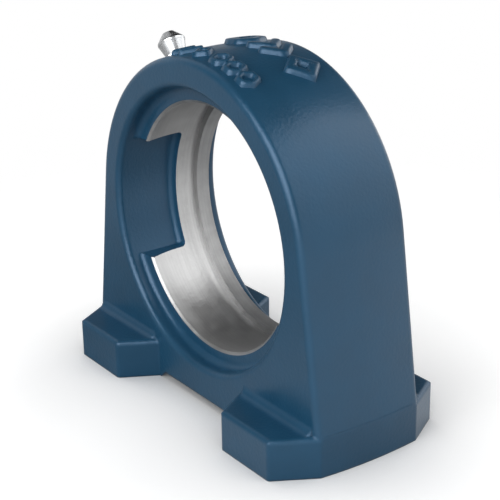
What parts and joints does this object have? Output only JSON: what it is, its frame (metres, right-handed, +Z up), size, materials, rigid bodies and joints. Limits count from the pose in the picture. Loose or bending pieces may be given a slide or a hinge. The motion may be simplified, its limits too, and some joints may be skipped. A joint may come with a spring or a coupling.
{
  "type": "pillow block housing",
  "caption": "Cast pillow block housing with a spherical bearing seat, loading slots, lugs on a flat base and a grease nipple.",
  "frame": {"origin": "middle of the underside of the base", "axes": "+X along the base, +Y along the bore towards the face without slots, +Z up"},
  "size_m": [0.093, 0.047, 0.0848],
  "materials": {
    "painted_cast_iron": "satin blue enamel over cast iron, bare machined seat",
    "zinc_plated_steel": "bright zinc plate",
    "ball_steel": "polished",
    "spring_steel": "drawn wire"
  },
  "bodies": {
    "casting": {"housing": "painted_cast_iron", "nipple_body": "zinc_plated_steel", "check_spring": "spring_steel"},
    "ball": {"check_ball": "ball_steel"}
  },
  "joints": [
    {"name": "ball_opening", "type": "slide", "parent": "casting", "child": "ball", "axis": [0.5807, 0, -0.8141], "range_m": [0, 0.0008], "stiffness_N_per_m": 1400, "springref_m": -0.0005, "deforming": ["check_spring"]}
  ]
}
